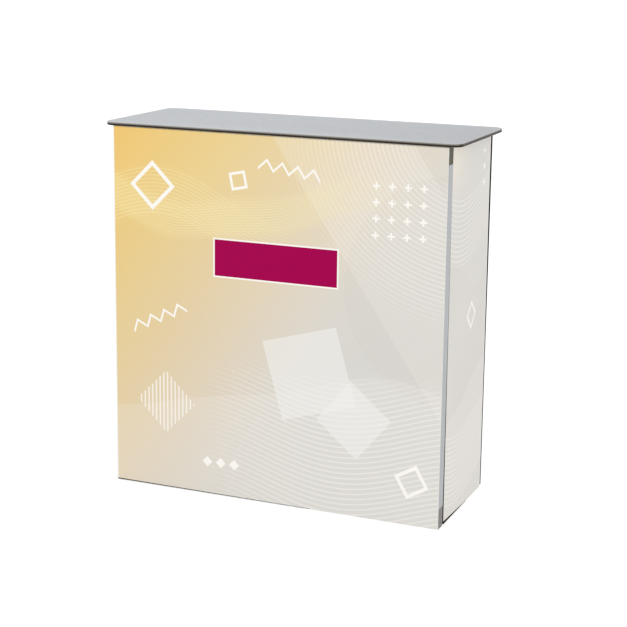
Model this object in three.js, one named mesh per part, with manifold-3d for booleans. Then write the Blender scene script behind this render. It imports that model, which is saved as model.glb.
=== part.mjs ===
// Folding exhibition counter: a laminate top on an aluminium frame, with printed panels on three sides.
// Millimetres, Z up. X runs along the width, the front faces -Y, and the origin is mid-floor.
// The front frame stays put. Two hinged side bars on each side, high and low, fold inwards, and bring the
// rear frame up behind it. The top lifts off, the panels pull off their magnets, and the shelf slides out.
import * as THREE from "three";
import { mergeVertices } from "three/addons/utils/BufferGeometryUtils.js";
import Module from "manifold-3d";

const wasm = await Module();
wasm.setup();

// Overall sizes
const counterHeight = 1000;
const bodyWidth = 940;
const bodyDepth = 370;
const tableThickness = 10;
const sideOverhang = 29;
const rearOverhang = 14;
const frontOverhang = 1;
const tableCornerRadius = 30;
const tableEdgeRound = 1.8;

// Fits: the gap between pieces that seat on each other, and the overrun of a cut
const seatGap = 0.3;
const pinClearance = 0.15;
const overrun = 1;

// Printed panels and the magnetic tape on their backs
const panelThickness = 3;
const panelCornerRadius = 2.5;
const frontPanelLift = 4;
const sidePanelLift = 6;
const sidePanelFrontGap = 4;
const sidePanelRearReveal = 8;
const tapeThickness = 1;
const flangeTapeWidth = 10;

// Post profile: coveredWidth lies under a panel, bareWidth shows beside it, a flange carries the next panel
const coveredWidth = 30;
const bareWidth = 32;
const postWall = 2;
const postCornerRadius = 1.5;
const stripWidth = 13;
const stripDepth = 1.5;
const stripRoundShare = 1 / 3;
const slotMouth = 6.2;
const slotLip = 1.8;
const slotWidth = 11;
const slotDepth = 6.5;
const flangeLength = 16;
const flangeThickness = 2;
const flangeStripThickness = 0.8;

// End fittings: moulded blocks that close the posts and carry the rails and the side bars
const topFittingHeight = 44.7;
const footFittingHeight = 55;
const postSpigotLength = 30;
const railSpigotLength = 25;
const fittingCornerRadius = 1.5;
const pocketDepth = 9;
const pocketWall = 4;
const pocketRib = 3;

// Rails: rectangular tubes between the fittings
const railHeight = 30;
const railDepth = 22;
const railWall = 1.6;
const railCornerRadius = 1.5;

// Side bars and their hinges. The pins stand just outside the bars' outer faces, so that the bars fold flat.
const barThickness = 12;
const barHeight = 30;
const barTopDrop = 7.7;
const barFootLift = 12;
const barFaceInset = 0.5;
const barEndGap = 1;
const barChannelDepth = 4;
const barChannelRim = 6;
const knuckleRadius = 5;
const knuckleClearance = 1;
const lugHeight = 8;
const pinRadius = 2.5;
const pinHeadRadius = 4;
const pinHeadHeight = 1.4;
const pinStandoff = 14;
const pinPanelClearance = 2;

// Shelf and the brackets that clamp in the posts' slots
const shelfHeight = 470;
const shelfThickness = 16;
const shelfCornerRadius = 3;
const shelfSideClearance = 3;
const shelfFrontClearance = 5;
const shelfRearInset = 10;
const bracketWidth = 18;
const bracketPlate = 3;
const bracketDrop = 30;
const bracketReach = 42;
const bracketGusset = 14;

// Pegs that locate the top in the front fittings
const pegRadius = 6;
const pegLength = 12;
const pegTip = 1.5;
const pegSocketSlack = 0.4;

// Facets of round forms
const roundSides = 16;
const cornerSegments = 3;
const tableCornerSegments = 8;

// Heights and planes that the pieces share
const tableUnderside = counterHeight - tableThickness;
const frameTop = tableUnderside - seatGap;
const tableWidth = bodyWidth + 2 * sideOverhang;
const tableDepth = bodyDepth + frontOverhang + rearOverhang;
const halfBody = bodyWidth / 2;
const panelStack = panelThickness + tapeThickness + seatGap;
const frontFace = -tableDepth / 2 + frontOverhang;
const frontPlane = frontFace + panelStack;
const rearPlane = frontFace + bodyDepth;
const rearSidePlane = halfBody - panelStack;
const flangeRebate = panelStack + flangeStripThickness;
const postBottom = footFittingHeight + seatGap;
const postTop = frameTop - topFittingHeight - seatGap;
const postLength = postTop - postBottom;
const barTopLevel = frameTop - barTopDrop - barHeight;
const slotCentreOnBareSide = bareWidth / 2;
const slotCentreOnBack = -(flangeRebate + flangeThickness + coveredWidth) / 2;
const stripCentre = -coveredWidth / 2;

// Hinge lines of the right-hand side
const pinLine = halfBody - panelThickness - pinPanelClearance - knuckleRadius;
const frontPinY = frontPlane + bareWidth + pinStandoff;
const rearPinY = rearPlane - coveredWidth - pinStandoff;
const barPitch = (rearPinY - frontPinY) / 2;
const middlePinY = frontPinY + barPitch;

// Finishes
const finishes = {
  laminate: { color: 0xc6cace, roughness: 0.42, metalness: 0 },
  print: { color: 0xe6d7b4, roughness: 0.5, metalness: 0 },
  aluminium: { color: 0xb7babc, roughness: 0.35, metalness: 0.9 },
  fitting: { color: 0x4b4b44, roughness: 0.55, metalness: 0 },
  steel: { color: 0x9a9da0, roughness: 0.3, metalness: 1 },
  tape: { color: 0x2b2724, roughness: 0.8, metalness: 0 },
  melamine: { color: 0xd9dadb, roughness: 0.5, metalness: 0 },
};
const materials = {};
for (const [name, values] of Object.entries(finishes)) {
  materials[name] = new THREE.MeshStandardMaterial(values);
}

// Closed geometry to a solid, and back
function solidOf(geometry) {
  const bare = geometry.clone();
  bare.deleteAttribute("normal");
  bare.deleteAttribute("uv");
  const merged = mergeVertices(bare);
  const vertProperties = new Float32Array(merged.attributes.position.array);
  const triVerts = new Uint32Array(merged.index.array);
  return new wasm.Manifold(new wasm.Mesh({ numProp: 3, vertProperties, triVerts }));
}

function geometryOf(solid) {
  const mesh = solid.getMesh();
  const geometry = new THREE.BufferGeometry();
  geometry.setAttribute("position", new THREE.BufferAttribute(new Float32Array(mesh.vertProperties), 3));
  geometry.setIndex(new THREE.BufferAttribute(new Uint32Array(mesh.triVerts), 1));
  geometry.computeVertexNormals();
  return geometry;
}

// Basic forms, each given by its own limits
function block([x0, x1], [y0, y1], [z0, z1]) {
  const geometry = new THREE.BoxGeometry(x1 - x0, y1 - y0, z1 - z0);
  geometry.translate((x0 + x1) / 2, (y0 + y1) / 2, (z0 + z1) / 2);
  return solidOf(geometry);
}

function upright(x, y, [z0, z1], radius) {
  const geometry = new THREE.CylinderGeometry(radius, radius, z1 - z0, roundSides);
  geometry.rotateX(Math.PI / 2);
  geometry.translate(x, y, (z0 + z1) / 2);
  return solidOf(geometry);
}

function roundedOutline([x0, x1], [y0, y1], radius) {
  const shape = new THREE.Shape();
  const quarter = Math.PI / 2;
  shape.absarc(x1 - radius, y0 + radius, radius, -quarter, 0);
  shape.absarc(x1 - radius, y1 - radius, radius, 0, quarter);
  shape.absarc(x0 + radius, y1 - radius, radius, quarter, 2 * quarter);
  shape.absarc(x0 + radius, y0 + radius, radius, 2 * quarter, 3 * quarter);
  shape.closePath();
  return shape;
}

function prism(shape, [z0, z1], curveSegments = cornerSegments) {
  const geometry = new THREE.ExtrudeGeometry(shape, { depth: z1 - z0, bevelEnabled: false, curveSegments });
  geometry.translate(0, 0, z0);
  return geometry;
}

// A turned form about Z, from its radii and heights, lowest first
function turned(profile) {
  const points = profile.map(([r, z]) => new THREE.Vector2(r, z));
  return new THREE.LatheGeometry(points, roundSides).rotateX(Math.PI / 2);
}

// Mirrors a right-hand or upper piece to its opposite, with its faces still pointing out
function mirrored(geometry, [sx, sy, sz]) {
  const copy = mergeVertices(geometry.clone().deleteAttribute("normal").deleteAttribute("uv"));
  copy.scale(sx, sy, sz);
  const index = copy.index.array;
  for (let i = 0; i < index.length; i += 3) {
    [index[i], index[i + 1]] = [index[i + 1], index[i]];
  }
  copy.computeVertexNormals();
  return copy;
}

// The two kinds of corner, each with its origin at the frame's outer corner on the right-hand side.
// The rear post is the front post turned by a right angle, so that its covered face looks sideways.
const corners = {
  front: {
    turn: 0,
    origin: [halfBody, frontPlane],
    x: [-coveredWidth, 0],
    y: [0, bareWidth],
    lugFace: bareWidth,
    lugDirection: 1,
  },
  rear: {
    turn: Math.PI / 2,
    origin: [rearSidePlane, rearPlane],
    x: [-bareWidth, 0],
    y: [-coveredWidth, 0],
    lugFace: -coveredWidth,
    lugDirection: -1,
  },
};

// Outline points of a T-slot, going along an edge: each is the way along it and the way into the metal
function slotPoints() {
  const mouth = slotMouth / 2;
  const half = slotWidth / 2;
  const going = [[-mouth, 0], [-mouth, slotLip], [-half, slotLip], [-half, slotDepth]];
  const coming = going.map(([along, into]) => [-along, into]).reverse();
  return [...going, ...coming];
}

function postShape() {
  const flangeInner = -flangeRebate - flangeThickness;
  const strip = [stripCentre - stripWidth / 2, stripCentre + stripWidth / 2];
  const outline = new THREE.Shape();
  outline.moveTo(-coveredWidth, 0);
  outline.lineTo(strip[0], 0);
  outline.lineTo(strip[0], stripDepth);
  outline.lineTo(strip[1], stripDepth);
  outline.lineTo(strip[1], 0);
  outline.absarc(-postCornerRadius, postCornerRadius, postCornerRadius, -Math.PI / 2, 0);
  outline.lineTo(0, bareWidth);
  outline.lineTo(-flangeRebate, bareWidth);
  outline.lineTo(-flangeRebate, bareWidth + flangeLength);
  outline.lineTo(flangeInner, bareWidth + flangeLength);
  outline.lineTo(flangeInner, bareWidth);
  for (const [along, into] of slotPoints()) {
    outline.lineTo(slotCentreOnBack - along, bareWidth - into);
  }
  outline.lineTo(-coveredWidth, bareWidth);
  for (const [along, into] of slotPoints()) {
    outline.lineTo(-coveredWidth + into, slotCentreOnBareSide - along);
  }
  outline.closePath();
  return outline;
}

// The hollow that runs up a post, and the limits of the spigot that fills it
const hollow = {
  x: [-coveredWidth + slotDepth + postWall, -postWall],
  y: [stripDepth + postWall, bareWidth - slotDepth - postWall],
};

function inset([low, high], by) {
  return [low + by, high - by];
}

function post(corner) {
  const bore = block(hollow.x, hollow.y, [-overrun, postLength + overrun]);
  const solid = solidOf(prism(postShape(), [0, postLength])).subtract(bore);
  return geometryOf(solid).rotateZ(corner.turn);
}

function faceStrip(corner) {
  const half = stripWidth / 2;
  const across = [stripCentre - half, stripCentre + half];
  const shape = roundedOutline(across, [0, stripDepth], stripDepth * stripRoundShare);
  return prism(shape, [0, postLength]).rotateZ(corner.turn);
}

// An end fitting, from the post's end (z = 0) to its free end. All of them have the post's section, a spigot
// in the post, one in the rail and two hinge lugs. The front top ones have a socket for the top's peg, and
// the others are cored out at the free end in four ribbed pockets.
function endFitting(corner, height, barStart, withSocket) {
  const section = roundedOutline([-coveredWidth, 0], [0, bareWidth], fittingCornerRadius);
  const postSpigot = block(inset(hollow.x, seatGap), inset(hollow.y, seatGap), [-postSpigotLength, overrun]);
  const turnedPart = geometryOf(solidOf(prism(section, [0, height])).add(postSpigot)).rotateZ(corner.turn);
  let solid = solidOf(turnedPart);

  const barEnd = barStart + barHeight;
  const railMiddle = (corner.y[0] + corner.y[1]) / 2;
  const spigotDepth = railDepth / 2 - railWall - seatGap;
  const spigotHeights = inset([barStart, barStart + railHeight], railWall + seatGap);
  const spigotX = [corner.x[0] - railSpigotLength, corner.x[0] + overrun];
  solid = solid.add(block(spigotX, [railMiddle - spigotDepth, railMiddle + spigotDepth], spigotHeights));

  const pinX = pinLine - corner.origin[0];
  const pinY = corner.lugFace + corner.lugDirection * pinStandoff;
  const root = corner.lugFace - corner.lugDirection * overrun;
  const webY = [Math.min(root, pinY), Math.max(root, pinY)];
  for (const lug of [[barStart, barStart + lugHeight], [barEnd - lugHeight, barEnd]]) {
    solid = solid.add(block([pinX - knuckleRadius, pinX + knuckleRadius], webY, lug));
    solid = solid.add(upright(pinX, pinY, lug, knuckleRadius));
  }
  const pinHole = [barStart - overrun, barEnd + overrun];
  solid = solid.subtract(upright(pinX, pinY, pinHole, pinRadius + pinClearance));

  if (withSocket) {
    const socket = [height - pegLength - overrun, height + overrun];
    const [socketX, socketY] = pegPlace(corner);
    solid = solid.subtract(upright(socketX, socketY, socket, pegRadius + pegSocketSlack));
  } else {
    const pocket = [height - pocketDepth, height + overrun];
    for (const xs of halves(inset(corner.x, pocketWall), pocketRib)) {
      for (const ys of halves(inset(corner.y, pocketWall), pocketRib)) {
        solid = solid.subtract(block(xs, ys, pocket));
      }
    }
  }
  return geometryOf(solid);
}

// Splits a stretch in two, with a rib left between
function halves([low, high], rib) {
  const middle = (low + high) / 2;
  return [[low, middle - rib / 2], [middle + rib / 2, high]];
}

function pegPlace(corner) {
  return [(corner.x[0] + corner.x[1]) / 2, (corner.y[0] + corner.y[1]) / 2];
}

// The foot fitting is the same moulding upside down, and the counter stands on its rim and ribs
function footFitting(corner) {
  const barStart = footFittingHeight - barFootLift - barHeight;
  return mirrored(endFitting(corner, footFittingHeight, barStart, false), [1, 1, -1]);
}

function topFitting(corner, withSocket) {
  const barStart = topFittingHeight - barTopDrop - barHeight;
  return endFitting(corner, topFittingHeight, barStart, withSocket);
}

function rail(length) {
  const upDown = [-railHeight / 2, railHeight / 2];
  const frontBack = [-railDepth / 2, railDepth / 2];
  const tube = solidOf(prism(roundedOutline(upDown, frontBack, railCornerRadius), [-length / 2, length / 2]));
  const bore = block(inset(upDown, railWall), inset(frontBack, railWall), [-length, length]);
  return geometryOf(tube.subtract(bore)).rotateY(Math.PI / 2);
}

// Heights of a hinge's middle eye, which turns between the two lugs of its fork
const eyeHeights = [lugHeight + seatGap, barHeight - lugHeight - seatGap];
const forkHeights = [[0, lugHeight], [barHeight - lugHeight, barHeight]];

// A side bar from the pin at its origin to the pin at barPitch along Y. Its near end is an eye.
function sideBar(forkAtFarEnd) {
  const outer = -barFaceInset;
  const inner = outer - barThickness;
  const clear = knuckleRadius + knuckleClearance;
  const across = [inner - overrun, knuckleRadius];
  const ends = [
    { pinY: 0, direction: 1, fork: false },
    { pinY: barPitch, direction: -1, fork: forkAtFarEnd },
  ];
  let solid = block([inner, outer], [barEndGap, barPitch - barEndGap], [0, barHeight]);
  for (const { pinY, direction, fork } of ends) {
    const reach = [pinY - direction * overrun, pinY + direction * clear].sort((a, b) => a - b);
    const [low, high] = eyeHeights;
    const relief = fork
      ? [[lugHeight, barHeight - lugHeight]]
      : [[-overrun, low], [high, barHeight + overrun]];
    for (const heights of relief) {
      solid = solid.subtract(block(across, reach, heights));
    }
    for (const heights of fork ? forkHeights : [eyeHeights]) {
      solid = solid.add(upright(0, pinY, heights, knuckleRadius));
    }
    const through = [-overrun, barHeight + overrun];
    solid = solid.subtract(upright(0, pinY, through, pinRadius + pinClearance));
  }
  const channelY = [clear + barChannelRim, barPitch - clear - barChannelRim];
  const channelX = [inner - overrun, inner + barChannelDepth];
  solid = solid.subtract(block(channelX, channelY, [barChannelRim, barHeight - barChannelRim]));
  return geometryOf(solid);
}

// A riveted pin, from the underside of the lower lug
function hingePin() {
  const low = -seatGap;
  const high = barHeight + seatGap;
  const profile = [
    [0, low - pinHeadHeight],
    [pinHeadRadius, low - pinHeadHeight],
    [pinHeadRadius, low],
    [pinRadius, low],
    [pinRadius, high],
    [pinHeadRadius, high],
    [pinHeadRadius, high + pinHeadHeight],
    [0, high + pinHeadHeight],
  ];
  return turned(profile);
}

// A shelf bracket: a plate on the post, a ledge under the shelf, a gusset, and a nut in the post's slot.
// Its origin is at the slot's mouth, at the height of the ledge's top, with the ledge reaching along -X.
function shelfBracket() {
  const half = bracketWidth / 2;
  const face = -seatGap;
  const back = face - bracketPlate;
  const ledge = block([face - bracketReach, face], [-half, half], [-bracketPlate, 0]);
  const plate = block([back, face], [-half, half], [-bracketDrop, 0]);
  const gussetShape = new THREE.Shape();
  gussetShape.moveTo(back + seatGap, -bracketPlate + seatGap);
  gussetShape.lineTo(back - bracketGusset, -bracketPlate + seatGap);
  gussetShape.lineTo(back + seatGap, -bracketPlate - bracketGusset);
  gussetShape.closePath();
  const gusset = prism(gussetShape, [-bracketPlate / 2, bracketPlate / 2]).rotateX(Math.PI / 2);
  const stemHalf = slotMouth / 2 - seatGap;
  const nutHalf = slotWidth / 2 - seatGap;
  const grip = inset([-bracketDrop, -bracketPlate], bracketPlate);
  const stem = block([face - seatGap, slotLip + seatGap + seatGap], [-stemHalf, stemHalf], grip);
  const nut = block([slotLip + seatGap, slotDepth - seatGap], [-nutHalf, nutHalf], grip);
  return geometryOf(ledge.add(plate).add(solidOf(gusset)).add(stem).add(nut));
}

function tableBoard() {
  const shape = roundedOutline(
    [-tableWidth / 2, tableWidth / 2], [-tableDepth / 2, tableDepth / 2], tableCornerRadius);
  const geometry = new THREE.ExtrudeGeometry(shape, {
    depth: tableThickness - 2 * tableEdgeRound,
    bevelEnabled: true,
    bevelThickness: tableEdgeRound,
    bevelSize: tableEdgeRound,
    bevelOffset: -tableEdgeRound,
    bevelSegments: 2,
    curveSegments: tableCornerSegments,
  });
  return geometry.translate(0, 0, tableEdgeRound);
}

function peg() {
  const profile = [[0, -pegLength], [pegRadius - pegTip, -pegLength], [pegRadius, -pegLength + pegTip],
    [pegRadius, 0], [0, 0]];
  return turned(profile);
}

function board(xs, ys, thickness, radius) {
  return prism(roundedOutline(xs, ys, radius), [0, thickness]);
}

// A panel that stands on edge, from its lowest corner, facing -Y
function standingPanel(width, height) {
  return board([0, width], [0, height], panelThickness, panelCornerRadius)
    .rotateX(Math.PI / 2)
    .translate(0, panelThickness, 0);
}

function tape(width, length) {
  const shape = roundedOutline([0, width], [0, tapeThickness], tapeThickness * stripRoundShare);
  return prism(shape, [0, length]);
}

// Adds a piece of the right-hand side, or its mirror image on the left
function place(parent, name, geometry, finish, [x, y, z], side = 1) {
  const shape = side > 0 ? geometry : mirrored(geometry, [-1, 1, 1]);
  const mesh = new THREE.Mesh(shape, materials[finish]);
  mesh.name = name;
  mesh.position.set(side * x, y, z);
  parent.add(mesh);
  return mesh;
}

const sides = [["left", -1], ["right", 1]];
const levels = [["top", barTopLevel], ["bottom", barFootLift]];

// The posts, fittings, strips, brackets and pins of the front or rear frame
function frameCorners(parent, end) {
  const corner = corners[end];
  const [x, y] = corner.origin;
  const isFront = end === "front";
  const slotX = isFront ? x - coveredWidth : x - bareWidth;
  const slotY = isFront ? y + slotCentreOnBareSide : y + slotCentreOnBack;
  const pinY = isFront ? frontPinY : rearPinY;
  for (const [side, sign] of sides) {
    const label = `${end}_${side}`;
    place(parent, `${label}_post`, post(corner), "aluminium", [x, y, postBottom], sign);
    place(parent, `${label}_magnet_strip`, faceStrip(corner), "steel", [x, y, postBottom], sign);
    place(parent, `${label}_top_fitting`, topFitting(corner, isFront), "fitting",
      [x, y, frameTop - topFittingHeight], sign);
    place(parent, `${label}_foot_fitting`, footFitting(corner), "fitting", [x, y, footFittingHeight], sign);
    place(parent, `${label}_shelf_bracket`, shelfBracket(), "steel",
      [slotX, slotY, shelfHeight - seatGap], sign);
    for (const [level, z] of levels) {
      place(parent, `${label}_${level}_hinge_pin`, hingePin(), "steel", [pinLine, pinY, z], sign);
    }
  }
}

function frameRails(parent, end) {
  const corner = corners[end];
  const reach = corner.origin[0] + corner.x[0] - seatGap;
  const middle = corner.origin[1] + (corner.y[0] + corner.y[1]) / 2;
  for (const [level, z] of levels) {
    place(parent, `${end}_${level}_rail`, rail(2 * reach), "aluminium", [0, middle, z + railHeight / 2]);
  }
}

function frontFrame() {
  const group = new THREE.Group();
  frameCorners(group, "front");
  frameRails(group, "front");
  const stripRound = flangeStripThickness * stripRoundShare;
  const stripShape = roundedOutline([0, flangeStripThickness], [0, flangeTapeWidth], stripRound);
  const flangeX = halfBody - flangeRebate;
  const flangeY = frontPlane + bareWidth + flangeLength - flangeTapeWidth;
  for (const [side, sign] of sides) {
    const strip = prism(stripShape, [0, postLength]);
    place(group, `front_${side}_flange_strip`, strip, "steel", [flangeX, flangeY, postBottom], sign);
  }
  return group;
}

function rearFrame() {
  const group = new THREE.Group();
  frameCorners(group, "rear");
  frameRails(group, "rear");
  return group;
}

function sideBars() {
  const group = new THREE.Group();
  for (const [side, sign] of sides) {
    for (const [level, z] of levels) {
      place(group, `${side}_front_${level}_bar`, sideBar(true), "aluminium", [pinLine, frontPinY, z], sign);
      const rearBar = mirrored(sideBar(false), [1, -1, 1]);
      place(group, `${side}_rear_${level}_bar`, rearBar, "aluminium", [pinLine, rearPinY, z], sign);
      place(group, `${side}_${level}_middle_pin`, hingePin(), "steel", [pinLine, middlePinY, z], sign);
    }
  }
  return group;
}

function top() {
  const group = new THREE.Group();
  place(group, "table_top", tableBoard(), "laminate", [0, 0, tableUnderside]);
  const corner = corners.front;
  const [pegX, pegY] = pegPlace(corner);
  for (const [side, sign] of sides) {
    place(group, `${side}_locating_peg`, peg(), "fitting",
      [corner.origin[0] + pegX, corner.origin[1] + pegY, tableUnderside], sign);
  }
  return group;
}

function panels() {
  const group = new THREE.Group();
  const frontHeight = frameTop - frontPanelLift;
  const tapeBack = frontFace + panelThickness;
  const front = standingPanel(bodyWidth, frontHeight);
  place(group, "front_panel", front, "print", [-halfBody, frontFace, frontPanelLift]);

  const sideStart = frontPlane + bareWidth + sidePanelFrontGap;
  const sideEnd = rearPlane - sidePanelRearReveal;
  const sidePanel = standingPanel(sideEnd - sideStart, frameTop - sidePanelLift).rotateZ(Math.PI / 2);
  const innerFace = halfBody - panelThickness;
  const flangeTapeY = frontPlane + bareWidth + flangeLength - flangeTapeWidth;
  const rearTapeY = rearPlane + stripCentre - stripWidth / 2;
  for (const [side, sign] of sides) {
    const frontTape = tape(stripWidth, postLength);
    const tapeX = halfBody + stripCentre - stripWidth / 2;
    place(group, `front_panel_${side}_tape`, frontTape, "tape", [tapeX, tapeBack, postBottom], sign);
    place(group, `${side}_panel`, sidePanel, "print", [halfBody, sideStart, sidePanelLift], sign);
    const tapes = [["front", flangeTapeY, flangeTapeWidth], ["rear", rearTapeY, stripWidth]];
    for (const [edge, y, width] of tapes) {
      const strip = tape(width, postLength).rotateZ(Math.PI / 2);
      place(group, `${side}_panel_${edge}_tape`, strip, "tape", [innerFace, y, postBottom], sign);
    }
  }
  return group;
}

function shelf() {
  const group = new THREE.Group();
  const halfWidth = rearSidePlane - bareWidth - flangeLength - shelfSideClearance;
  const ys = [frontFace + panelThickness + shelfFrontClearance, rearPlane - shelfRearInset];
  const plate = board([-halfWidth, halfWidth], ys, shelfThickness, shelfCornerRadius);
  place(group, "shelf", plate, "melamine", [0, 0, shelfHeight]);
  return group;
}

const counter = new THREE.Group();
counter.add(frontFrame(), rearFrame(), sideBars(), top(), panels(), shelf());

export default counter;
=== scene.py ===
import math

import bmesh
import bpy
from mathutils import Matrix, Vector


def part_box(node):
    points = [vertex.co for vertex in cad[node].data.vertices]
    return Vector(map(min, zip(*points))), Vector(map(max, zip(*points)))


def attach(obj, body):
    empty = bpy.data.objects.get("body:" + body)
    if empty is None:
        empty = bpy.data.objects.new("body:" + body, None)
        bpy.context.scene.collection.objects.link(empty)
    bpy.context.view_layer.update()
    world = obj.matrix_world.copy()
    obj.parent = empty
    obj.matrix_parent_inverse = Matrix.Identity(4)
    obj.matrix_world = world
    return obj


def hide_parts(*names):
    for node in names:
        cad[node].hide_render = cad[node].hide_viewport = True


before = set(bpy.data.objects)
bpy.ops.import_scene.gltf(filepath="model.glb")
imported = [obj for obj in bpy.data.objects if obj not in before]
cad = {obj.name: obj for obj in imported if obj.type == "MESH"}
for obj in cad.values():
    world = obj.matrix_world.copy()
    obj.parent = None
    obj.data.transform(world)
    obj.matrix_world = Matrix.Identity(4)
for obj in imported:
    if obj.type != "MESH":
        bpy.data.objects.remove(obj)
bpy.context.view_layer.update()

# Looks of a folding exhibition counter. Metres, Z up, the front faces -Y.
SIDES = {"right": 1, "left": -1}

# How strongly the studio lights a face, and the strength of its white surroundings
STUDIO_LEVEL = 1.17
WORLD_LEVEL = 1.08

# The top: its corners and rims, and the laminate that covers its dark core
TOP_CORNER = 0.030
TOP_ROUND = 0.0018
LAMINATE_ROLL = 0.0010
LAMINATE_SHEET = 0.0004
CORE_DARK = 0.0036

# The shelf, with its edge band and the glue line beside the band
SHELF_CORNER = 0.003
SHELF_ROUND = 0.0006
EDGE_BAND = 0.0012
GLUE_HALF_LINE = 0.00018

# The printed boards
SHEET = 0.003
SHEET_CORNER = 0.0025
SHEET_RIM = 0.0003
SHEET_COLUMNS = 10
SHEET_ROWS = 36

# How the boards hang. The front board drops from left to right over its lower part.
FRONT_DROP = 0.0034
FRONT_DROP_FROM = 0.15
FRONT_DROP_TO = 0.10
DROP_LEVEL = 0.5
# The side board drops to the rear. Its front edge leans from forward to back below a level,
# and its rear edge covers more of the rear post between two levels.
SIDE_DROP = 0.0050
HUNG_FORWARD = -0.0034
HUNG_BACK = 0.0046
HUNG_LEVEL = 0.86
REAR_COVER = 0.0064
REAR_STEP = 0.0036
COVER_LEVELS = (0.92, 0.30)

# Bare margins of the prints, how far in their ink is rubbed, and the shade right under the top
FRONT_MARGIN = 0.0034
REAR_MARGIN = 0.0048
RUBBED_REACH = 0.0022
SHADE_FROM = 0.0032
SHADE_TO = 0.0008

# Dark strips of painted shade, beside the rear post and under the boards: how far each stands past
# the board or the post that it covers
REAR_STRIP_SEAT = 0.0005
REAR_STRIP_PROUD = 0.0006
REAR_STRIP_GAP = 0.0002
REAR_STRIP_PAST_POST = 0.0012
LOWER_STRIP_PROUD = 0.0001
LOWER_STRIP_INSET = 0.0015
LOWER_STRIP_SHARE = 0.62

# Screws of the rails and of the shelf brackets
RAIL_SCREW = (0.0033, 0.0018)
BRACKET_SCREW = (0.0030, 0.0020)
RAIL_SCREW_INSET = 0.0125
BRACKET_SCREW_LIFT = 0.0062
BRACKET_FACE = 0.0033


def paint(red, green, blue):
    """A colour given in the screen levels, 0 to 255, that it shows in the studio's light."""
    def linear(level):
        share = level / 255
        shown = share / 12.92 if share <= 0.04045 else ((share + 0.055) / 1.055) ** 2.4
        return shown / STUDIO_LEVEL
    return (linear(red), linear(green), linear(blue), 1.0)


class Finish:
    """A material that is built node by node on the piece's own Object coordinates."""

    def __init__(self, name, roughness, metallic=0.0, specular=0.5):
        self.material = bpy.data.materials.new(name)
        self.material.use_nodes = True
        self.tree = self.material.node_tree
        self.shader = self.tree.nodes["Principled BSDF"]
        self.shader.inputs["Roughness"].default_value = roughness
        self.shader.inputs["Metallic"].default_value = metallic
        self.shader.inputs["Specular IOR Level"].default_value = specular
        place = self.tree.nodes.new("ShaderNodeTexCoord")
        self.place = place.outputs["Object"]
        self.x, self.y, self.z = self.split(self.place)
        self.facing_x, self.facing_y, self.facing_z = self.split(place.outputs["Normal"])

    def node(self, kind, **settings):
        made = self.tree.nodes.new(kind)
        for name, value in settings.items():
            setattr(made, name, value)
        return made

    def feed(self, socket, value):
        """Links another node's output to the socket, or sets the value on it."""
        if isinstance(value, bpy.types.NodeSocket):
            self.tree.links.new(value, socket)
        else:
            socket.default_value = value

    def split(self, vector):
        apart = self.node("ShaderNodeSeparateXYZ")
        self.feed(apart.inputs[0], vector)
        return apart.outputs[0], apart.outputs[1], apart.outputs[2]

    def reckon(self, operation, *values):
        made = self.node("ShaderNodeMath", operation=operation)
        for socket, value in zip(made.inputs, values):
            self.feed(socket, value)
        return made.outputs[0]

    def scaled(self, value, factor, offset=0.0):
        return self.reckon("MULTIPLY_ADD", value, factor, offset)

    def both(self, first, *others):
        for other in others:
            first = self.reckon("MULTIPLY", first, other)
        return first

    def either(self, first, *others):
        for other in others:
            first = self.reckon("MAXIMUM", first, other)
        return first

    def under(self, value, limit):
        return self.reckon("LESS_THAN", value, limit)

    def over(self, value, limit):
        return self.reckon("GREATER_THAN", value, limit)

    def near(self, value, middle, reach):
        return self.reckon("COMPARE", value, middle, reach)

    def eased(self, value, start, end):
        """0 at start and 1 at end, with a smooth step between."""
        made = self.node("ShaderNodeMapRange", interpolation_type="SMOOTHSTEP", clamp=True)
        self.feed(made.inputs["Value"], value)
        self.feed(made.inputs["From Min"], start)
        self.feed(made.inputs["From Max"], end)
        return made.outputs["Result"]

    def spread(self, value, low, high):
        """A value from 0 to 1 brought to low and high."""
        return self.scaled(value, high - low, low)

    def noise(self, scale, detail, stretch=(1.0, 1.0, 1.0), roughness=0.5):
        mapping = self.node("ShaderNodeMapping")
        mapping.inputs["Scale"].default_value = stretch
        self.feed(mapping.inputs["Vector"], self.place)
        made = self.node("ShaderNodeTexNoise")
        self.feed(made.inputs["Vector"], mapping.outputs[0])
        made.inputs["Scale"].default_value = scale
        made.inputs["Detail"].default_value = detail
        made.inputs["Roughness"].default_value = roughness
        return made.outputs["Fac"]

    def ramp(self, value, stops):
        made = self.node("ShaderNodeValToRGB")
        self.feed(made.inputs[0], value)
        points = made.color_ramp.elements
        while len(points) < len(stops):
            points.new(1.0)
        for point, (position, colour) in zip(points, stops):
            point.position = position
            point.color = colour
        return made.outputs[0]

    def mix(self, share, below, above):
        made = self.node("ShaderNodeMix", data_type="RGBA")
        self.feed(made.inputs["Factor"], share)
        self.feed(made.inputs["A"], below)
        self.feed(made.inputs["B"], above)
        return made.outputs["Result"]

    def shaded(self, colour, value, low, high):
        """Colour made darker or lighter by a value from 0 to 1."""
        made = self.node("ShaderNodeVectorMath", operation="SCALE")
        self.feed(made.inputs[0], colour)
        self.feed(made.inputs["Scale"], self.spread(value, low, high))
        return made.outputs[0]

    def relief(self, height, distance, strength):
        made = self.node("ShaderNodeBump")
        made.inputs["Strength"].default_value = strength
        made.inputs["Distance"].default_value = distance
        self.feed(made.inputs["Height"], height)
        self.feed(self.shader.inputs["Normal"], made.outputs[0])

    def done(self, colour, roughness):
        self.feed(self.shader.inputs["Base Color"], colour)
        self.feed(self.shader.inputs["Roughness"], roughness)
        return self.material


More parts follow.
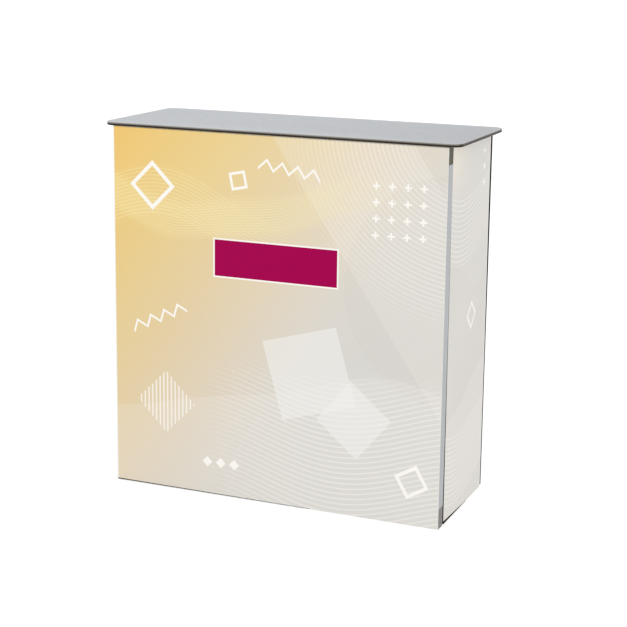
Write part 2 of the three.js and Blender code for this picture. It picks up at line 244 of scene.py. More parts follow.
def compact_laminate(low, high):
    """Light blue-grey laminate, rolled over the upper rim, on a dark core that shows at the edge."""
    finish = Finish("compact_laminate", roughness=0.38, specular=0.45)
    mottle = finish.noise(7.0, 3.0)
    grain = finish.noise(900.0, 2.0)
    face = finish.ramp(mottle, [(0.3, paint(167, 171, 176)), (0.7, paint(171, 175, 180))])
    face = finish.shaded(face, grain, 0.985, 1.015)

    # Painted light: painted shade darker to the right and at the right end, painted reflection
    # lighter along the front and the rear
    painted_light = (
        (finish.x, -0.25, 0.50, 1.02, 0.91),
        (finish.x, 0.34, 0.50, 1.0, 0.95),
        (finish.y, low.y + 0.085, low.y + 0.010, 1.0, 1.10),
        (finish.y, high.y - 0.060, high.y, 1.0, 1.05),
    )
    for way, start, end, at_start, at_end in painted_light:
        face = finish.shaded(face, finish.eased(way, start, end), at_start, at_end)
    # Painted highlight: the rolled rim, where its faces turn away from straight up, is made lighter
    rolled = finish.eased(finish.facing_z, 0.985, 0.90)
    face = finish.mix(rolled, face, paint(204, 205, 205))

    # The core has fine layers. Towards the upper rim it is painted paler, a painted gradient of
    # light over the rounded edge, less so at both ends.
    layers = finish.noise(60.0, 4.0, stretch=(1.0, 1.0, 160.0))
    core_tones = [(0.25, paint(36, 31, 22)), (0.6, paint(54, 46, 34)), (0.85, paint(78, 68, 52))]
    core = finish.ramp(layers, core_tones)
    upper = finish.eased(finish.z, low.z + CORE_DARK, high.z - LAMINATE_ROLL)
    end_rim = finish.over(finish.reckon("ABSOLUTE", finish.facing_x), 0.8)
    upper = finish.both(upper, finish.spread(end_rim, 0.9, 0.5))
    core = finish.mix(upper, core, paint(173, 170, 165))

    skin = finish.either(
        finish.over(finish.z, high.z - LAMINATE_ROLL),
        finish.under(finish.z, low.z + LAMINATE_SHEET),
    )
    finish.feed(finish.shader.inputs["Specular IOR Level"], finish.spread(skin, 0.06, 0.42))
    rough = finish.scaled(finish.noise(40.0, 4.0), 0.14, 0.30)
    fine = finish.reckon("ADD", grain, finish.noise(260.0, 3.0))
    finish.relief(fine, distance=0.00006, strength=0.5)
    return finish.done(finish.mix(skin, core, face), rough)


def anodised(name, lengthwise):
    """Satin anodised extrusion, with its fine draw lines along the given way."""
    finish = Finish(name, roughness=0.34, metallic=1.0)
    stretch = [1.0, 1.0, 1.0]
    stretch["xyz".index(lengthwise)] = 0.004
    lines = finish.noise(1800.0, 3.0, tuple(stretch), roughness=0.7)
    broad = finish.noise(120.0, 2.0, tuple(stretch))
    clouds = finish.noise(14.0, 3.0)
    tone = finish.ramp(clouds, [(0.3, paint(171, 174, 176)), (0.75, paint(179, 182, 184))])
    tone = finish.shaded(tone, lines, 0.93, 1.05)
    tone = finish.shaded(tone, broad, 0.96, 1.03)
    rough = finish.reckon("ADD", finish.scaled(lines, 0.5), finish.scaled(clouds, 0.5))
    finish.relief(lines, distance=0.00004, strength=0.6)
    return finish.done(tone, finish.spread(rough, 0.24, 0.46))


def moulded(name, dark, light):
    """Spark-eroded moulded nylon: a fine pebble, faint flow clouds and rubbed high spots."""
    finish = Finish(name, roughness=0.56, specular=0.14)
    pebble = finish.noise(1400.0, 3.0, roughness=0.65)
    clouds = finish.noise(30.0, 4.0)
    tone = finish.ramp(clouds, [(0.28, paint(*dark)), (0.72, paint(*light))])
    tone = finish.shaded(tone, pebble, 0.9, 1.1)
    rubbed = finish.noise(75.0, 3.0)
    finish.relief(pebble, distance=0.00012, strength=0.8)
    return finish.done(tone, finish.spread(rubbed, 0.47, 0.7))


def zinc_plated():
    """Bright zinc plating with faint yellow clouds and fine specks."""
    finish = Finish("zinc_plated_steel", roughness=0.3, metallic=1.0)
    clouds = finish.noise(60.0, 5.0)
    specks = finish.noise(900.0, 2.0)
    plating = [
        (0.25, paint(160, 163, 168)), (0.55, paint(184, 187, 188)), (0.8, paint(196, 194, 184)),
    ]
    tone = finish.ramp(clouds, plating)
    tone = finish.shaded(tone, specks, 0.92, 1.06)
    finish.relief(specks, distance=0.00003, strength=0.5)
    return finish.done(tone, finish.spread(clouds, 0.2, 0.45))


def magnetic_tape_and_shade_strips():
    """Matt brown-black magnetic tape with its fine lengthwise rolling marks. The dark strips of
    painted shade use it too.
    """
    finish = Finish("magnetic_tape_and_shade_strips", roughness=0.9, specular=0.03)
    marks = finish.noise(1500.0, 2.0, stretch=(1.0, 1.0, 0.01))
    dust = finish.noise(220.0, 4.0)
    tone = finish.ramp(dust, [(0.3, paint(24, 21, 19)), (0.72, paint(38, 34, 31))])
    tone = finish.shaded(tone, marks, 0.85, 1.12)
    finish.relief(marks, distance=0.00006, strength=0.7)
    return finish.done(tone, finish.spread(dust, 0.68, 0.9))


def melamine(low, high):
    """White melamine-faced board: a pearl texture, and a thin edge band with its glue line."""
    finish = Finish("white_melamine", roughness=0.42, specular=0.4)
    pearl = finish.noise(700.0, 3.0, roughness=0.6)
    clouds = finish.noise(9.0, 3.0)
    tone = finish.ramp(clouds, [(0.3, paint(214, 215, 215)), (0.7, paint(220, 221, 220))])
    tone = finish.shaded(tone, pearl, 0.985, 1.012)
    glue = finish.either(
        finish.near(finish.z, high.z - EDGE_BAND, GLUE_HALF_LINE),
        finish.near(finish.z, low.z + EDGE_BAND, GLUE_HALF_LINE),
    )
    upright_face = finish.under(finish.reckon("ABSOLUTE", finish.facing_z), 0.4)
    tone = finish.mix(finish.both(glue, upright_face), tone, paint(150, 148, 142))
    finish.relief(pearl, distance=0.00008, strength=0.6)
    return finish.done(tone, finish.spread(pearl, 0.34, 0.5))


INK_WHITE = paint(252, 249, 243)
INK_MAGENTA = paint(164, 0, 78)
INK_WARM_GREY = paint(198, 192, 182)
INK_MARGIN = paint(244, 243, 240)
INK_PALE = paint(243, 242, 239)
INK_OCHRE = paint(224, 186, 118)
INK_STRAW = paint(250, 238, 182)
GROUND = [
    (0.00, paint(241, 199, 114)), (0.12, paint(238, 206, 134)), (0.20, paint(236, 210, 149)),
    (0.28, paint(234, 212, 163)), (0.36, paint(231, 213, 177)), (0.44, paint(229, 215, 191)),
    (0.52, paint(225, 217, 203)), (0.60, paint(222, 218, 211)), (0.68, paint(220, 218, 212)),
]

# Long waves of the prints: two sines each, with their swing, their turns and their start
HILL = ((0.055, 6.2, 0.4), (0.020, 13.0, 2.0))
DUNE = ((0.070, 4.4, 3.4), (0.015, 11.0, 1.0))
SWEEP = ((0.050, 7.5, 0.2), (0.022, 3.1, 4.0))
DRIFT = ((0.035, 9.0, 1.3), (0.030, 4.0, 0.3))
RIDGE = ((0.050, 7.0, 2.9), (0.014, 15.0, 0.5))
SIDE_FOLD = ((0.050, 9.0, 0.8), (0.020, 21.0, 0.0))
SIDE_CREST = ((0.060, 8.0, 3.6), (0.015, 17.0, 2.0))
SIDE_SWEEP = ((0.050, 8.5, 2.2), (0.020, 4.0, 0.0))

# Small motifs. A place is how far across the panel it lies, from the middle, and its height.
PLUS_PITCH = 0.042
PLUS_ARM = 0.0095
PLUS_HALF_LINE = 0.0026
TOOTH_PITCH = 0.022
TOOTH_RISE = 0.026
ZIGZAG_HALF_LENGTH = 0.088
ZIGZAG_HALF_LINE = 0.0042
ZIGZAGS = (((-0.335, 0.480), 24.0), ((0.045, 0.905), -8.0))
OPEN_SQUARES = (
    ((-0.352, 0.838), 0.042, 0.0052, 45.0),
    ((-0.100, 0.868), 0.020, 0.0036, 12.0),
    ((0.395, 0.118), 0.030, 0.0046, 30.0),
)
HATCHED_SQUARE = ((-0.315, 0.245), 0.062)
SMALL_SQUARES = ((-0.190, 0.092), (-0.150, 0.092), (-0.110, 0.092))
SMALL_SQUARE_HALF = 0.0105
PALE_SQUARES = (((0.105, 0.372), 0.108, 16.0), ((0.232, 0.262), 0.074, 50.0))

# The bare plate: its middle, half its width and height, and its white rim
PLATE_MIDDLE = (0.0062, 0.6585)
PLATE_HALF = (0.1782, 0.0529)
PLATE_RIM = 0.0042


class Print(Finish):
    """A satin print on the outer face of a white foam board, drawn on the panel's own plane."""

    def __init__(self, name, across, facing, sign):
        super().__init__(name, roughness=0.55, specular=0.04)
        self.across = getattr(self, across)
        flat = self.node("ShaderNodeCombineXYZ")
        self.feed(flat.inputs[0], self.across)
        self.feed(flat.inputs[1], self.z)
        self.flat = flat.outputs[0]
        self.outer = self.over(self.scaled(getattr(self, facing), sign), 0.7)

    def away(self, point):
        """How far a place lies from a point."""
        made = self.node("ShaderNodeVectorMath", operation="DISTANCE")
        self.feed(made.inputs[0], self.flat)
        made.inputs[1].default_value = (*point, 0.0)
        return made.outputs["Value"]

    def along(self, point, direction):
        """How far a place lies from a point in a direction."""
        made = self.node("ShaderNodeVectorMath", operation="DOT_PRODUCT")
        self.feed(made.inputs[0], self.flat)
        made.inputs[1].default_value = (*direction, 0.0)
        start = point[0] * direction[0] + point[1] * direction[1]
        return self.reckon("SUBTRACT", made.outputs["Value"], start)

    def turned(self, point, degrees):
        """Both ways from a point, after a turn."""
        turn = math.radians(degrees)
        one = self.along(point, (math.cos(turn), math.sin(turn)))
        other = self.along(point, (-math.sin(turn), math.cos(turn)))
        return one, other

    def cornered(self, point, degrees=45.0):
        """Distance from a point that makes turned squares: the larger of both ways."""
        one, other = self.turned(point, degrees)
        return self.either(self.reckon("ABSOLUTE", one), self.reckon("ABSOLUTE", other))

    def open_square(self, point, half, half_line, degrees):
        return self.near(self.cornered(point, degrees), half, half_line)

    def plus_signs(self, corner, columns, rows):
        """Rows of small plus signs that start at a corner."""
        def beat(value, start, count):
            local = self.reckon("SUBTRACT", value, start)
            inside = self.near(local, PLUS_PITCH * count / 2, PLUS_PITCH * count / 2)
            away = self.scaled(self.reckon("PINGPONG", local, PLUS_PITCH / 2), -1.0, PLUS_PITCH / 2)
            return inside, away
        in_columns, off_x = beat(self.across, corner[0], columns)
        in_rows, off_z = beat(self.z, corner[1], rows)
        level = self.both(self.near(off_z, 0.0, PLUS_HALF_LINE), self.near(off_x, 0.0, PLUS_ARM))
        upright = self.both(self.near(off_x, 0.0, PLUS_HALF_LINE), self.near(off_z, 0.0, PLUS_ARM))
        return self.both(self.either(level, upright), in_columns, in_rows)

    def zigzag(self, point, degrees):
        one, other = self.turned(point, degrees)
        teeth = self.reckon("PINGPONG", one, TOOTH_PITCH)
        teeth = self.scaled(teeth, TOOTH_RISE / TOOTH_PITCH, -TOOTH_RISE / 2)
        line = self.near(self.reckon("SUBTRACT", other, teeth), 0.0, ZIGZAG_HALF_LINE)
        return self.both(line, self.near(one, 0.0, ZIGZAG_HALF_LENGTH))

    def fine_lines(self, field, pitch, share):
        """Thin soft lines at even steps of a field, wider with their share of the pitch."""
        way = self.reckon("PINGPONG", field, pitch / 2)
        return self.eased(way, pitch / 2 * share, 0.0)

    def waves(self, first, second, rise=1.0):
        """A field whose level lines are long waves: the height plus two sines across the panel."""
        field = self.scaled(self.z, rise)
        for swing, turns, start in (first, second):
            sine = self.reckon("SINE", self.scaled(self.across, turns, start))
            field = self.reckon("ADD", field, self.scaled(sine, swing))
        return field

    def printed(self, ink, where, share, colour):
        """A see-through colour over the ink, where a mask is 1."""
        return self.mix(self.scaled(where, share), ink, colour)

    def rubbed(self, ink, across, height):
        """The ink worn thin in patches along the four edges, as handling and packing leave it."""
        inward = self.reckon("MINIMUM", self.scaled(self.across, 1.0, -across[0]),
                             self.scaled(self.across, -1.0, across[1]))
        inward = self.reckon("MINIMUM", inward, self.scaled(self.z, 1.0, -height[0]))
        inward = self.reckon("MINIMUM", inward, self.scaled(self.z, -1.0, height[1]))
        patches = self.eased(self.noise(45.0, 4.0, roughness=0.7), 0.46, 0.62)
        worn = self.both(self.eased(inward, RUBBED_REACH, 0.0), patches)
        return self.printed(ink, worn, 0.7, INK_MARGIN)

    def board(self, ink, painted_shade_edge=False):
        """The print on the outer face, and bare white board at the edges and the back."""
        cells = self.noise(1600.0, 2.0)
        whites = [(0.3, paint(226, 225, 222)), (0.7, paint(229, 228, 225))]
        bare = self.ramp(self.noise(12.0, 3.0), whites)
        bare = self.shaded(bare, cells, 0.96, 1.02)
        if painted_shade_edge:
            # Painted shade: the front cut edge, which faces the front post, is dark where it lies in
            # the shadow gap beside the post
            bare = self.mix(self.under(self.facing_y, -0.6), bare, paint(46, 41, 38))
        tooth = self.noise(650.0, 3.0)
        fine = self.reckon("ADD", self.scaled(tooth, 0.7), self.scaled(cells, 0.3))
        self.relief(fine, distance=0.00005, strength=0.5)
        return self.done(self.mix(self.outer, bare, ink), self.spread(tooth, 0.42, 0.56))


def broad_shapes(art, ink, leftward):
    """A hill, a slope, a pool and a dune, all see-through."""
    hill = art.under(art.waves(*HILL), 0.70)
    ink = art.printed(ink, art.both(hill, leftward), 0.10, INK_OCHRE)
    slope = art.near(art.along(point=(-0.05, 0.95), direction=(0.83, 0.56)), 0.22, 0.16)
    ink = art.printed(ink, slope, 0.16, INK_WHITE)
    pool = art.under(art.away((0.50, 0.62)), 0.30)
    ink = art.printed(ink, pool, 0.10, INK_WARM_GREY)
    dune = art.under(art.waves(*DUNE), 0.30)
    return art.printed(ink, dune, 0.13, INK_WHITE)


def line_fields(art, ink):
    """Four fields of fine lines: arcs at the upper right, a sweep, a drift and a ridge."""
    corner = art.away((0.53, 1.04))
    quarter = art.both(art.eased(corner, 0.12, 0.20), art.eased(corner, 0.56, 0.40))
    arcs = art.fine_lines(corner, pitch=0.0120, share=0.5)
    thread = art.mix(art.eased(art.across, 0.02, 0.32), INK_STRAW, INK_WHITE)
    ink = art.printed(ink, art.both(arcs, quarter), 0.42, thread)

    low_right = art.both(art.eased(art.across, -0.26, 0.02), art.eased(art.z, 0.42, 0.30))
    sweep = art.fine_lines(art.waves(*SWEEP), pitch=0.0142, share=0.46)
    ink = art.printed(ink, art.both(sweep, low_right), 0.50, INK_WHITE)

    drift = art.waves(*DRIFT, rise=0.8)
    belt = art.both(art.near(drift, 0.60, 0.055), art.eased(art.across, 0.14, -0.14))
    drift = art.fine_lines(drift, pitch=0.0080, share=0.6)
    ink = art.printed(ink, art.both(drift, belt), 0.42, INK_STRAW)

    ridge = art.waves(*RIDGE)
    flank = art.reckon("ABSOLUTE", art.reckon("SUBTRACT", ridge, 0.800))
    crest = art.both(art.eased(flank, 0.062, 0.030), art.eased(art.across, 0.46, 0.02))
    ink = art.printed(ink, crest, 0.10, INK_STRAW)
    ridge = art.fine_lines(ridge, pitch=0.0070, share=0.6)
    return art.printed(ink, art.both(ridge, crest), 0.46, INK_STRAW)


def white_motifs(art, ink):
    """Plus signs, squares and zigzags in white, and two large pale squares."""
    place, half = HATCHED_SQUARE
    hatching = art.fine_lines(art.across, pitch=0.0115, share=0.62)
    hatched = art.both(art.under(art.cornered(place), half), hatching)
    motifs = [art.plus_signs((0.262, 0.735), columns=4, rows=4), hatched]
    motifs += [art.open_square(*square) for square in OPEN_SQUARES]
    motifs += [art.zigzag(*line) for line in ZIGZAGS]
    motifs += [art.under(art.cornered(place), SMALL_SQUARE_HALF) for place in SMALL_SQUARES]
    ink = art.mix(art.either(*motifs), ink, INK_WHITE)
    for place, half, turn in PALE_SQUARES:
        ink = art.printed(ink, art.under(art.cornered(place, turn), half), 0.55, INK_PALE)
    return ink


def bare_plate(art, ink):
    """The magenta plate with its thin white rim."""
    for inset, colour in ((0.0, INK_WHITE), (PLATE_RIM, INK_MAGENTA)):
        wide = art.near(art.across, PLATE_MIDDLE[0], PLATE_HALF[0] - inset)
        tall = art.near(art.z, PLATE_MIDDLE[1], PLATE_HALF[1] - inset)
        ink = art.mix(art.both(wide, tall), ink, colour)
    return ink


def front_print(low, high):
    """Golden yellow that runs to warm grey, with plain shapes and fine lines, and a bare plate."""
    art = Print("front_print", "x", "facing_y", -1)
    width, height = high.x - low.x, high.z - low.z
    right = art.scaled(art.across, 1 / width, -low.x / width)
    down = art.scaled(art.z, -1 / height, high.z / height)
    way = art.reckon("ADD", art.scaled(right, 0.55), art.scaled(down, 0.45))
    way = art.reckon("ADD", way, art.scaled(art.noise(1.6, 1.0), 0.06, -0.03))
    ink = art.ramp(way, GROUND)
    ink = art.shaded(ink, art.eased(down, 0.05, 0.6), 1.0, 0.98)
    ink = broad_shapes(art, ink, art.eased(right, 0.62, 0.15))
    ink = line_fields(art, ink)
    ink = white_motifs(art, ink)
    ink = bare_plate(art, ink)

    # The bare left margin, the rubbed edges and the shade right under the top
    ink = art.mix(art.under(art.across, low.x + FRONT_MARGIN), ink, INK_MARGIN)
    ink = art.rubbed(ink, (low.x, high.x), (low.z - FRONT_DROP, high.z))
    shade = art.eased(art.z, high.z - SHADE_FROM, high.z - SHADE_TO)
    ink = art.shaded(ink, shade, 1.0, 0.55)
    return art.board(ink)


def side_print(name, low, high, sign, warm, warm_reach):
    """Warm pale grey, warmer at the upper front corner, with faint lines and a few white motifs."""
    art = Print(name, "y", "facing_x", sign)
    clouds = art.noise(2.2, 1.0)
    ink = art.ramp(clouds, [(0.3, paint(219, 216, 211)), (0.7, paint(223, 220, 214))])
    glow = art.eased(art.away((low.y - 0.02, high.z + 0.02)), warm_reach, 0.0)
    ink = art.mix(glow, ink, warm)
    fold = art.under(art.waves(*SIDE_FOLD), 0.66)
    ink = art.printed(ink, fold, 0.07, INK_WARM_GREY)
    crest = art.under(art.waves(*SIDE_CREST), 0.30)
    ink = art.printed(ink, crest, 0.12, INK_WHITE)
    sweep = art.waves(*SIDE_SWEEP)
    belts = art.either(art.near(sweep, 0.80, 0.085), art.near(sweep, 0.17, 0.10))
    lines = art.fine_lines(sweep, pitch=0.0130, share=0.5)
    ink = art.printed(ink, art.both(lines, belts), 0.42, INK_WHITE)
    motifs = art.either(
        art.plus_signs((0.094, 0.842), columns=1, rows=3),
        art.open_square((0.040, 0.520), half=0.024, half_line=0.0040, degrees=45.0),
    )
    ink = art.printed(ink, motifs, 0.8, INK_WHITE)

    # The bare margin along the rear edge, which follows the board's hang
    margin_start = high.y - REAR_STEP - REAR_MARGIN
    rear = art.scaled(art.eased(art.z, *COVER_LEVELS), REAR_COVER, margin_start)
    ink = art.mix(art.over(art.across, rear), ink, INK_MARGIN)
    ink = art.rubbed(ink, (low.y + HUNG_FORWARD, high.y), (low.z - SIDE_DROP, high.z))
    return art.board(ink, painted_shade_edge=True)


def piece(name, bm, body, material, nodes=()):
    """Makes the mesh an object that rides on its body, with flat faces kept flat beside rims."""
    bmesh.ops.remove_doubles(bm, verts=bm.verts[:], dist=1e-7)
    for face in bm.faces:
        face.smooth = True
    mesh = bpy.data.meshes.new(name)
    bm.to_mesh(mesh)
    bm.free()
    mesh.materials.append(material)
    made = bpy.data.objects.new(name, mesh)
    bpy.context.scene.collection.objects.link(made)
    mesh.set_sharp_from_angle(angle=math.radians(50))
    normals = made.modifiers.new("flat_faces", "WEIGHTED_NORMAL")
    normals.keep_sharp = True
    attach(made, body)
    if nodes:
        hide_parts(*nodes)


def rounded(bm, geometry, radius, segments, affect="EDGES"):
    bmesh.ops.bevel(bm, geom=geometry, affect=affect, offset=radius, segments=segments,
                    profile=0.5, material=-1, clamp_overlap=True)


def rims(bm):
    """Edges where two faces meet at more than 60 degrees."""
    least = math.radians(60.0)
    return [e for e in bm.edges if len(e.link_faces) == 2 and e.calc_face_angle(0.0) > least]


def slab(low, high, corner, corner_segments, rim, rim_segments):
    """A flat board with rounded corners and rounded rims."""
    bm = bmesh.new()
    bmesh.ops.create_cube(bm, size=1.0)
    bmesh.ops.scale(bm, vec=high - low, verts=bm.verts)
    bmesh.ops.translate(bm, vec=(low + high) / 2, verts=bm.verts)
    least = (high.z - low.z) / 2
    upright = [e for e in bm.edges if abs(e.verts[0].co.z - e.verts[1].co.z) > least]
    rounded(bm, upright, corner, corner_segments)
    rounded(bm, rims(bm), rim, rim_segments)
    return bm


def table_board(material):
    low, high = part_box("table_top")
    bm = slab(low, high, TOP_CORNER, 14, TOP_ROUND, 5)
    piece("table_board", bm, "top", material, ["table_top"])


def shelf_board(material):
    low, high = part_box("shelf")
    bm = slab(low, high, SHELF_CORNER, 5, SHELF_ROUND, 2)
    piece("shelf_board", bm, "shelf", material, ["shelf"])


def stood_up(turn):
    """Stands a flat mesh upright and turns it a quarter to either side, or not at all."""
    upright = Matrix.Rotation(math.radians(90), 4, "X")
    return Matrix.Rotation(math.radians(90 * turn), 4, "Z") @ upright


def face_outwards(bm, outward):
    bmesh.ops.recalc_face_normals(bm, faces=bm.faces[:])
    if sum((f.normal for f in bm.faces), Vector()).dot(outward) < 0:
        bmesh.ops.reverse_faces(bm, faces=bm.faces[:])


def printed_sheet(name, node, body, material, turn, bend):
    """A printed board: a rounded sheet in its plane, bent, then given its thickness and rims."""
    low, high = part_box(node)
    size, middle = high - low, (low + high) / 2
    bm = bmesh.new()
    bmesh.ops.create_grid(bm, x_segments=SHEET_COLUMNS, y_segments=SHEET_ROWS, size=0.5)
    corners = [v for v in bm.verts if len(v.link_edges) == 2]
    bmesh.ops.scale(bm, vec=(size.y if turn else size.x, size.z, 1.0), verts=bm.verts)
    rounded(bm, corners, SHEET_CORNER, 4, affect="VERTICES")
    bmesh.ops.transform(bm, matrix=stood_up(turn), verts=bm.verts)
    if turn:
        place = Vector((high.x if turn > 0 else low.x, middle.y, middle.z))
        outward = Vector((turn, 0, 0))
    else:
        place = Vector((middle.x, low.y, middle.z))
        outward = Vector((0, -1, 0))
    bmesh.ops.translate(bm, vec=place, verts=bm.verts)
    for v in bm.verts:
        v.co += bend(v.co)
    face_outwards(bm, outward)
    bmesh.ops.solidify(bm, geom=bm.faces[:], thickness=SHEET)
    rounded(bm, rims(bm), SHEET_RIM, 2)
    piece(name, bm, body, material, [node])


def step(value, start, end):
    """0 at start and 1 at end, with a smooth step between."""
    share = min(max((value - start) / (end - start), 0.0), 1.0)
    return share * share * (3 - 2 * share)


def front_bend(co):
    """The front board hangs a little lower at its right-hand end."""
    low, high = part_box("front_panel")
    right = step(co.x, low.x + FRONT_DROP_FROM, high.x - FRONT_DROP_TO)
    return Vector((0, 0, -FRONT_DROP * right * step(co.z, DROP_LEVEL, low.z)))


def side_bend(co):
    """The thin side board hangs a little askew. Its front edge closes on the post near the top and
    leaves it lower down, its rear edge covers more of the rear post towards the floor, and its rear
    lower corner drops."""
    low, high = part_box("right_panel")
    back = (co.y - low.y) / (high.y - low.y)
    lean = (max(HUNG_LEVEL - co.z, 0.0) / HUNG_LEVEL) ** 1.3
    front_shift = HUNG_FORWARD + (HUNG_BACK - HUNG_FORWARD) * lean
    rear_shift = REAR_COVER * step(co.z, *COVER_LEVELS) - REAR_STEP
    drop = SIDE_DROP * step(back, 0.0, 0.7) * step(co.z, DROP_LEVEL, low.z)
    return Vector((0, front_shift * (1 - back) + rear_shift * back, -drop))


def ring_of(bm, radius, level, sides):
    made = bmesh.ops.create_circle(bm, cap_ends=False, radius=radius, segments=sides)
    bmesh.ops.translate(bm, vec=(0, 0, level), verts=made["verts"])
    return list({e for v in made["verts"] for e in v.link_edges})


def socket_screw(bm, place, axis, radius, height):
    """A low domed screw head with a hexagon socket, standing on place along axis."""
    part = bmesh.new()
    hexagon, shoulder = radius * 0.46, height * 0.35
    levels = [(radius, 0.0, 20), (radius, shoulder, 20), (radius * 0.86, height * 0.82, 20),
              (radius * 0.62, height, 20), (hexagon, height, 6), (hexagon, shoulder, 6)]
    rings = [ring_of(part, *level) for level in levels]
    for lower, upper in zip(rings, rings[1:]):
        bmesh.ops.bridge_loops(part, edges=lower + upper)
    bmesh.ops.holes_fill(part, edges=rings[0] + rings[-1], sides=0)
    bmesh.ops.recalc_face_normals(part, faces=part.faces[:])
    turn = Vector((0, 0, 1)).rotation_difference(Vector(axis)).to_matrix().to_4x4()
    bmesh.ops.transform(part, matrix=Matrix.Translation(place) @ turn, verts=part.verts)
    mesh = bpy.data.meshes.new("screw_part")
    part.to_mesh(mesh)
    part.free()
    bm.from_mesh(mesh)
    bpy.data.meshes.remove(mesh)


def frame_screws(end, material):
    """The screws that hold each rail on its fittings, and the one that clamps each bracket."""
    bm = bmesh.new()
    inward = 1 if end == "front" else -1
    for level in ("top", "bottom"):
        low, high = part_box(f"{end}_{level}_rail")
        face = high.y if inward > 0 else low.y
        for x in (low.x + RAIL_SCREW_INSET, high.x - RAIL_SCREW_INSET):
            socket_screw(bm, (x, face, (low.z + high.z) / 2), (0, inward, 0), *RAIL_SCREW)
    for side, sign in SIDES.items():
        low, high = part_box(f"{end}_{side}_shelf_bracket")
        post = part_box(f"{end}_{side}_post")
        face = (post[0].x if sign > 0 else post[1].x) - sign * BRACKET_FACE
        place = (face, (low.y + high.y) / 2, low.z + BRACKET_SCREW_LIFT)
        socket_screw(bm, place, (-sign, 0, 0), *BRACKET_SCREW)
    piece(f"{end}_frame_screws", bm, f"{end}_frame", material)


def rear_shade_strip(side, material):
    """A dark strip as painted shade along the rear edge of the side board, in the step beside the
    rear post.
    """
    sign = SIDES[side]
    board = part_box(f"{side}_panel")
    low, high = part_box(f"rear_{side}_post")
    inner = (high.x if sign > 0 else low.x) + sign * REAR_STRIP_SEAT
    outer = (board[1].x if sign > 0 else board[0].x) + sign * REAR_STRIP_PROUD
    start, end = board[1].y + REAR_STRIP_GAP, high.y + REAR_STRIP_PAST_POST
    middle = Vector((outer, (start + end) / 2, (board[0].z + board[1].z) / 2))
    bm = bmesh.new()
    bmesh.ops.create_grid(bm, x_segments=1, y_segments=30, size=0.5)
    bmesh.ops.scale(bm, vec=(end - start, board[1].z - board[0].z, 1.0), verts=bm.verts)
    bmesh.ops.transform(bm, matrix=stood_up(1), verts=bm.verts)
    bmesh.ops.translate(bm, vec=middle, verts=bm.verts)
    for v in bm.verts:
        if v.co.y < middle.y:
            v.co.y += side_bend(Vector((outer, board[1].y, v.co.z))).y
    face_outwards(bm, Vector((sign, 0, 0)))
    bmesh.ops.solidify(bm, geom=bm.faces[:], thickness=abs(outer - inner))
    rounded(bm, rims(bm), 0.0003, 2)
    piece(f"{side}_rear_shade_strip", bm, f"{side}_panel", material)


def wedge_strip(low, high, way, first, last):
    """A thin strip between two corners in plan, along x (way 0) or y (way 1). Each end has its own
    lower and upper height."""
    bm = bmesh.new()
    bmesh.ops.create_cube(bm, size=1.0)
    for v in bm.verts:
        heights = first if v.co[way] < 0 else last
        v.co.z = heights[1 if v.co.z > 0 else 0]
    bmesh.ops.scale(bm, vec=(high[0] - low[0], high[1] - low[1], 1.0), verts=bm.verts)
    middle = ((low[0] + high[0]) / 2, (low[1] + high[1]) / 2, 0.0)
    bmesh.ops.translate(bm, vec=middle, verts=bm.verts)
    rounded(bm, rims(bm), 0.0001, 2)
    return bm


def lower_shade_strip(side, material):
    """A dark strip as painted shade under the front part of the side board, which narrows to the
    back.
    """
    sign = SIDES[side]
    low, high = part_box(f"{side}_panel")
    face = high.x if sign > 0 else low.x
    across = sorted((face + sign * LOWER_STRIP_PROUD, face - sign * (SHEET + LOWER_STRIP_PROUD)))
    start = low.y + side_bend(Vector((0, low.y, low.z))).y
    end = low.y + LOWER_STRIP_SHARE * (high.y - low.y)
    front_heights, rear_heights = (0.0005, low.z + 0.0024), (0.0010, 0.0017)
    bm = wedge_strip((across[0], start), (across[1], end), 1, front_heights, rear_heights)
    piece(f"{side}_lower_shade_strip", bm, f"{side}_panel", material)


def front_shade_strip(material):
    """The same dark strip of painted shade under the front board, which shows most at the left."""
    low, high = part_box("front_panel")
    start, end = low.x + LOWER_STRIP_INSET, low.x + LOWER_STRIP_SHARE * (high.x - low.x)
    left_heights = (low.z - 0.0020, low.z + 0.0008)
    right_heights = (low.z - 0.0022, low.z - 0.0012)
    bm = wedge_strip((start, low.y - LOWER_STRIP_PROUD), (end, high.y + LOWER_STRIP_PROUD), 0,
                     left_heights, right_heights)
    piece("front_lower_shade_strip", bm, "front_panel", material)


# The counter: finishes on the CAD nodes, then the pieces that are made here
laminate = compact_laminate(*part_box("table_top"))
white_board = melamine(*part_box("shelf"))
# The tape finish also colours the dark strips of painted shade at the side boards' rear edges and
# under the boards
tape = magnetic_tape_and_shade_strips()
steel = zinc_plated()
# The top fittings and their pegs: the nylon of the feet, painted darker and more olive as shade
# under the top
top_nylon_painted_shade = moulded("olive_nylon_painted_shade", dark=(82, 78, 62), light=(98, 96, 78))
foot_nylon = moulded("grey_nylon", dark=(124, 121, 119), light=(140, 136, 134))
metal = {way: anodised(f"anodised_along_{way}", way) for way in "xyz"}
finishes = {
    "_post": metal["z"], "_rail": metal["x"], "_bar": metal["y"], "_tape": tape,
    "top_fitting": top_nylon_painted_shade, "_peg": top_nylon_painted_shade, "foot_fitting": foot_nylon,
}
for name, node in cad.items():
    material = next((finishes[ending] for ending in finishes if name.endswith(ending)), steel)
    for index in range(len(node.data.materials)):
        node.data.materials[index] = material

table_board(laminate)
shelf_board(white_board)
front_ink = front_print(*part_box("front_panel"))
right_ink = side_print("right_print", *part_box("right_panel"), 1,
                       warm=paint(240, 231, 216), warm_reach=0.20)
left_ink = side_print("left_print", *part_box("left_panel"), -1,
                      warm=paint(238, 206, 132), warm_reach=0.62)
printed_sheet("front_board", "front_panel", "front_panel", front_ink, 0, front_bend)
printed_sheet("right_board", "right_panel", "right_panel", right_ink, 1, side_bend)
printed_sheet("left_board", "left_panel", "left_panel", left_ink, -1, side_bend)
front_shade_strip(tape)
for end in ("front", "rear"):
    frame_screws(end, steel)
for side in SIDES:
    rear_shade_strip(side, tape)
    lower_shade_strip(side, tape)


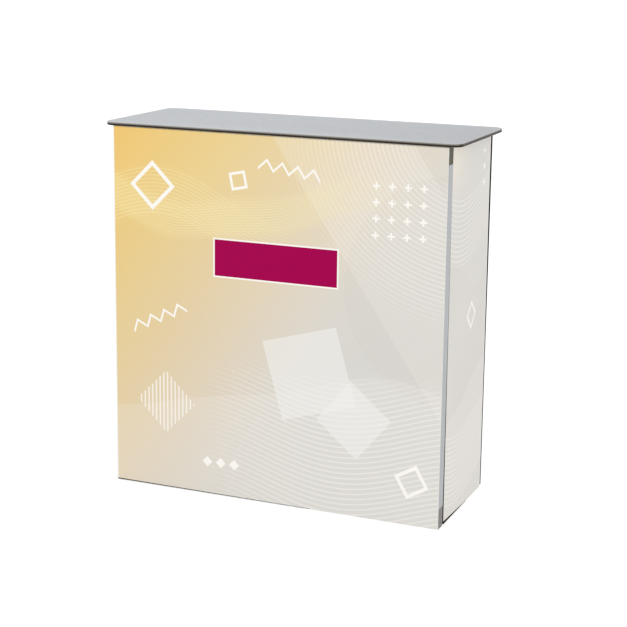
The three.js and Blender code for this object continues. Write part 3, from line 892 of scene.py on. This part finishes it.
def pale_floor():
    """A wide white floor with a faint glow, so that it runs into the background."""
    bm = bmesh.new()
    bmesh.ops.create_grid(bm, x_segments=1, y_segments=1, size=60.0)
    mesh = bpy.data.meshes.new("studio_floor")
    bm.to_mesh(mesh)
    bm.free()
    floor = Finish("studio_floor", roughness=0.8, specular=0.0)
    floor.shader.inputs["Emission Color"].default_value = (1.0, 1.0, 1.0, 1.0)
    floor.shader.inputs["Emission Strength"].default_value = 0.62
    greys = [(0.3, (0.47, 0.47, 0.47, 1)), (0.7, (0.49, 0.49, 0.49, 1))]
    tone = floor.ramp(floor.noise(3.0, 4.0), greys)
    mesh.materials.append(floor.done(tone, 0.8))
    made = bpy.data.objects.new("studio_floor", mesh)
    bpy.context.scene.collection.objects.link(made)
    return made


def soft_light(name, place, aim, size, power):
    """A square lamp that looks at its aim."""
    data = bpy.data.lights.new(name, "AREA")
    data.shape = "RECTANGLE"
    data.size, data.size_y = size, size
    data.energy = power
    lamp = bpy.data.objects.new(name, data)
    lamp.location = place
    lamp.rotation_euler = (Vector(aim) - Vector(place)).to_track_quat("-Z", "Y").to_euler()
    bpy.context.scene.collection.objects.link(lamp)


pale_floor()
world = bpy.data.worlds.new("studio")
world.use_nodes = True
world.node_tree.nodes["Background"].inputs["Color"].default_value = (1.0, 1.0, 1.0, 1.0)
world.node_tree.nodes["Background"].inputs["Strength"].default_value = WORLD_LEVEL
bpy.context.scene.world = world
soft_light("key", place=(-2.6, -3.4, 3.4), aim=(0.0, 0.0, 0.6), size=2.4, power=14.0)
soft_light("fill", place=(3.6, -1.6, 2.2), aim=(0.2, 0.0, 0.5), size=2.0, power=8.0)

# The camera: its place, its turns in degrees, its focal length in pixels of an image of that
# width, and its downward shift as a share of the width
SHOT = {"place": (1.6704, -3.9130, 1.5046), "yaw": -22.684, "pitch": -11.937, "roll": 0.718,
        "focal": 1603.7, "pixels": 627, "shift": 0.07}


def shot_camera():
    data = bpy.data.cameras.new("camera")
    data.sensor_width = 36.0
    data.lens = SHOT["focal"] / SHOT["pixels"] * data.sensor_width
    data.shift_y = -SHOT["shift"]
    yaw, pitch, roll = (math.radians(SHOT[turn]) for turn in ("yaw", "pitch", "roll"))
    flat = math.cos(pitch)
    ahead = Vector((math.sin(yaw) * flat, math.cos(yaw) * flat, math.sin(pitch)))
    level = Vector((math.cos(yaw), -math.sin(yaw), 0.0))
    above = level.cross(ahead)
    right = level * math.cos(roll) + above * math.sin(roll)
    up = above * math.cos(roll) - level * math.sin(roll)
    turn = Matrix((right, up, -ahead)).transposed().to_4x4()
    made = bpy.data.objects.new("camera", data)
    made.matrix_world = Matrix.Translation(SHOT["place"]) @ turn
    bpy.context.scene.collection.objects.link(made)
    bpy.context.scene.camera = made


shot_camera()
bpy.context.scene.view_settings.view_transform = "Standard"
bpy.context.scene.view_settings.look = "None"
bpy.context.scene.view_settings.exposure = 0.0
bpy.context.scene.view_settings.gamma = 1.0
